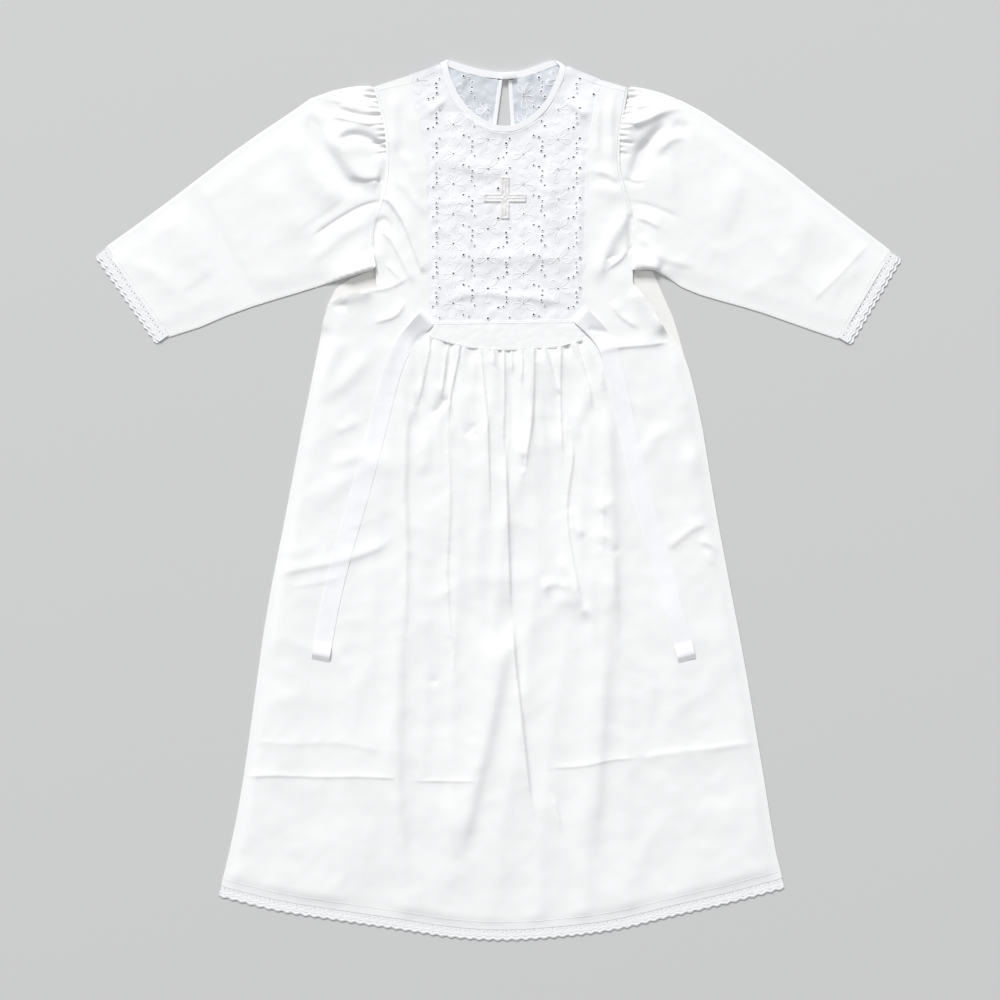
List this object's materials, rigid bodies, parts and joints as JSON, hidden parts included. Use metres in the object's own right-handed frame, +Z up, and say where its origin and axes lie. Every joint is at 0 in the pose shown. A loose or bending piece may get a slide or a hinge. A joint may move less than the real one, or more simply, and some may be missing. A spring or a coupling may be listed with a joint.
{
  "type": "baptismal shirt",
  "caption": "Child's long white cotton baptismal shirt laid flat, with an eyelet bib, sewn cross, gathered skirt, tape ties and lace at the cuffs and hem.",
  "frame": {"origin": "middle of the bounding box, on the plane that the shirt lies on", "axes": "+Y from the hem to the neck, +X to the right of the picture, +Z up out of the front"},
  "size_m": [0.799, 0.88, 0.0159],
  "materials": {
    "muslin": "plain woven white cotton, matt",
    "eyelet_cloth": "white cotton with stitched eyelets, matt",
    "bias_tape": "white cotton bias strip, soft sheen",
    "lace": "white cotton lace, matt",
    "twill_tape": "white herringbone tape, soft sheen",
    "satin_stitch": "off-white satin stitch, silky"
  },
  "bodies": {
    "root": {"back_panel": "muslin", "back_inset": "eyelet_cloth", "slit_binding": "bias_tape", "front_panel": "muslin", "front_inset": "eyelet_cloth", "waist_band": "muslin", "neck_binding": "bias_tape", "sleeve_left": "muslin", "sleeve_right": "muslin", "cuff_lace_left": "lace", "cuff_lace_right": "lace", "hem_lace": "lace", "tie_left": "twill_tape", "tie_right": "twill_tape", "cross": "satin_stitch"}
  },
  "joints": []
}
